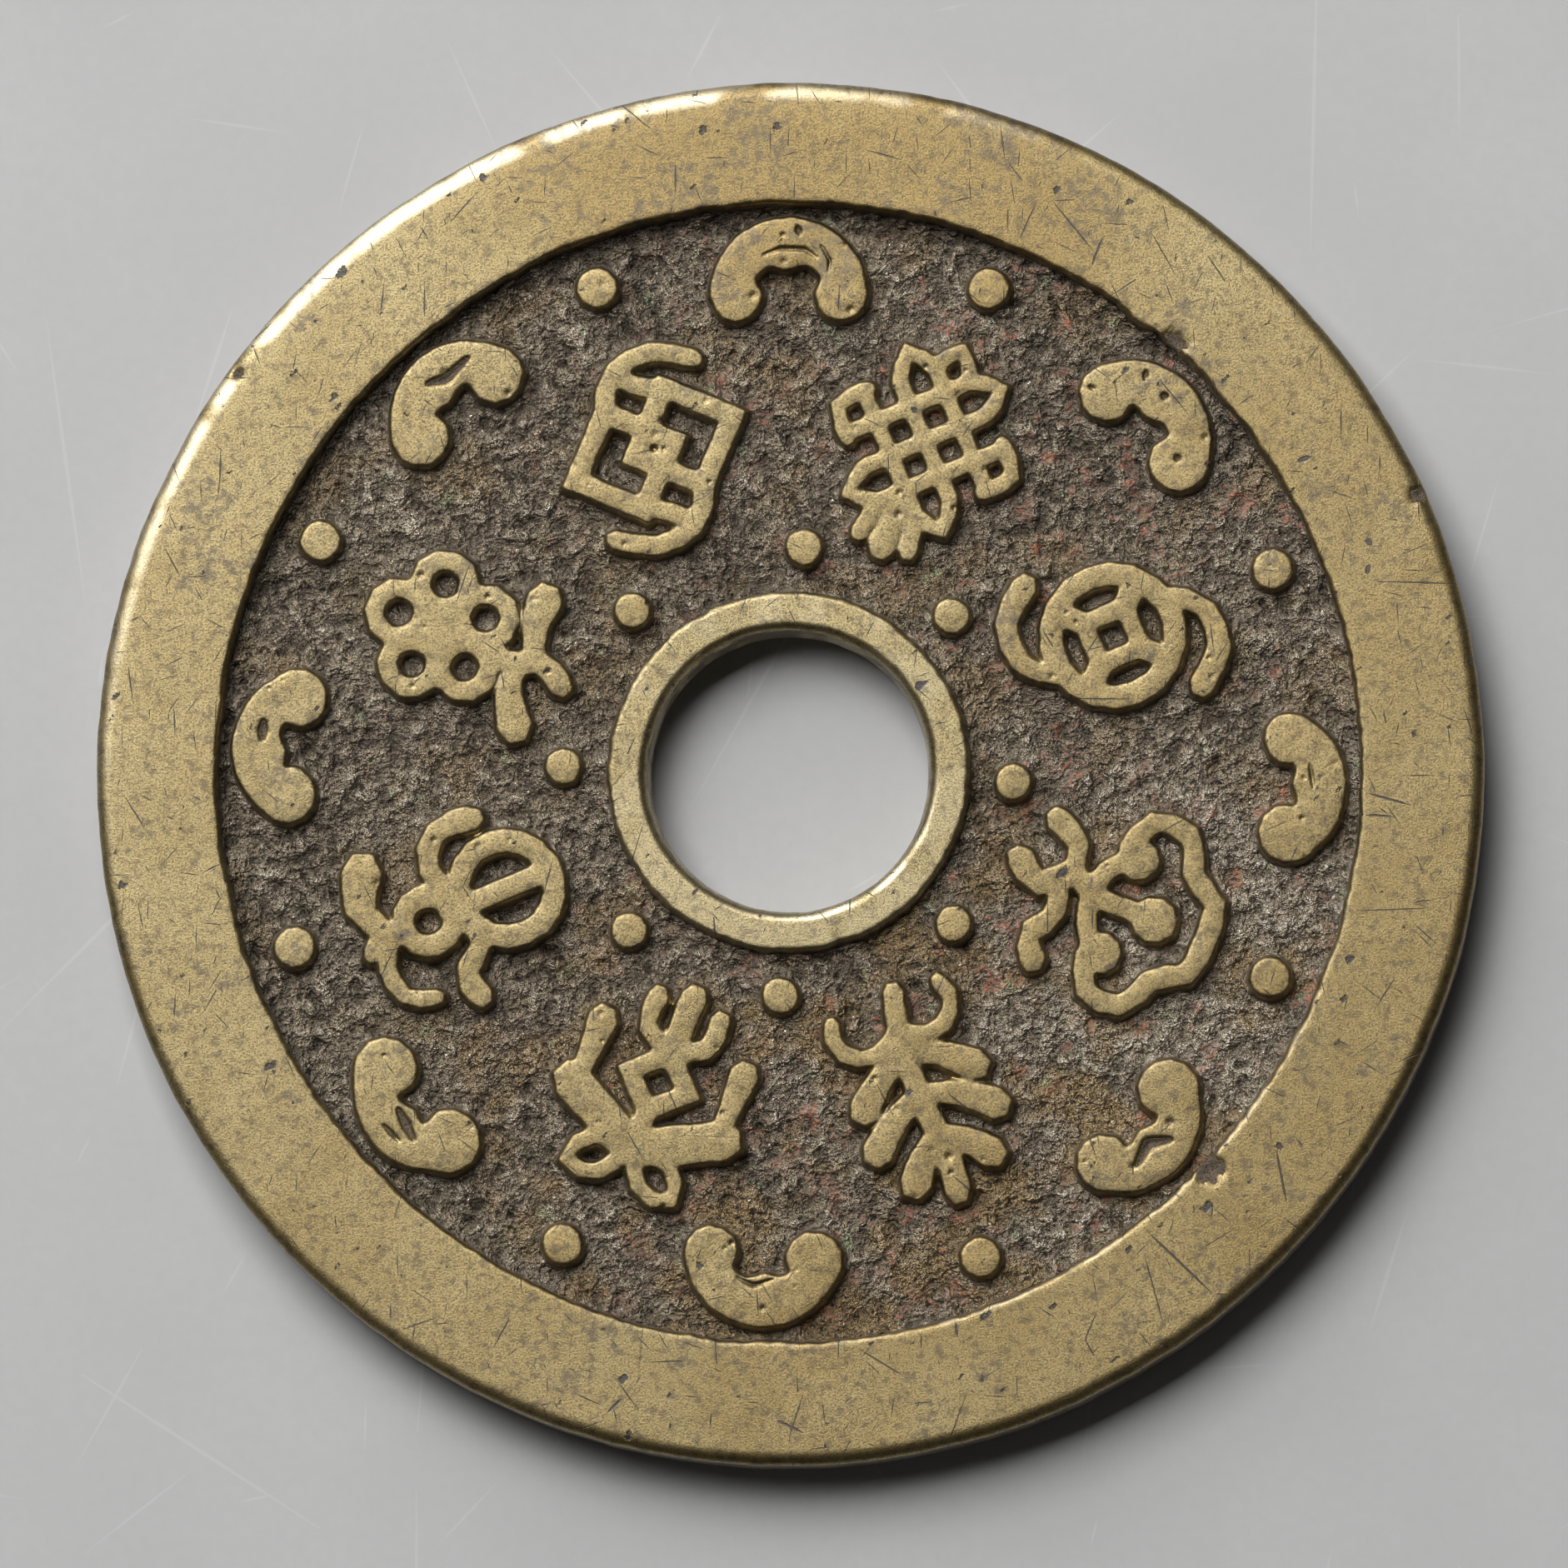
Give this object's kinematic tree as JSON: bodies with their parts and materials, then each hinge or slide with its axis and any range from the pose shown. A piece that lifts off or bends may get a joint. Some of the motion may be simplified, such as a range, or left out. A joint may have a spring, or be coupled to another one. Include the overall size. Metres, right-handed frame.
{
  "type": "charm coin",
  "caption": "Cast brass charm coin with a round hole, a raised rim and collar, and cloud heads, studs and auspicious ornaments in relief; it lies flat or is strung on a cord.",
  "frame": {"origin": "centre of the reverse face that the coin lies on, at the bottom of the bounding box", "axes": "+Z out of the decorated side along the axis of the hole; +Y towards the cloud head at the top; +X to the right of it"},
  "size_m": [0.05, 0.05, 0.0028],
  "materials": {
    "field_brass": "dark oxidised, sand-cast",
    "worn_brass": "hand-worn, satin"
  },
  "bodies": {
    "root": {"coin_blank": "field_brass", "cloud_right": "worn_brass", "cloud_top_right": "worn_brass", "cloud_top": "worn_brass", "cloud_top_left": "worn_brass", "cloud_left": "worn_brass", "cloud_bottom_left": "worn_brass", "cloud_bottom": "worn_brass", "cloud_bottom_right": "worn_brass", "outer_dot_1": "worn_brass", "outer_dot_2": "worn_brass", "outer_dot_3": "worn_brass", "outer_dot_4": "worn_brass", "outer_dot_5": "worn_brass", "outer_dot_6": "worn_brass", "outer_dot_7": "worn_brass", "outer_dot_8": "worn_brass", "inner_dot_1": "worn_brass", "inner_dot_2": "worn_brass", "inner_dot_3": "worn_brass", "inner_dot_4": "worn_brass", "inner_dot_5": "worn_brass", "inner_dot_6": "worn_brass", "inner_dot_7": "worn_brass", "inner_dot_8": "worn_brass", "ring_coin": "worn_brass", "endless_knot": "worn_brass", "lozenge_pair": "worn_brass", "plum_blossom": "worn_brass", "gourd": "worn_brass", "stone_chime": "worn_brass", "artemisia_leaf": "worn_brass", "ruyi_head": "worn_brass"}
  },
  "joints": []
}
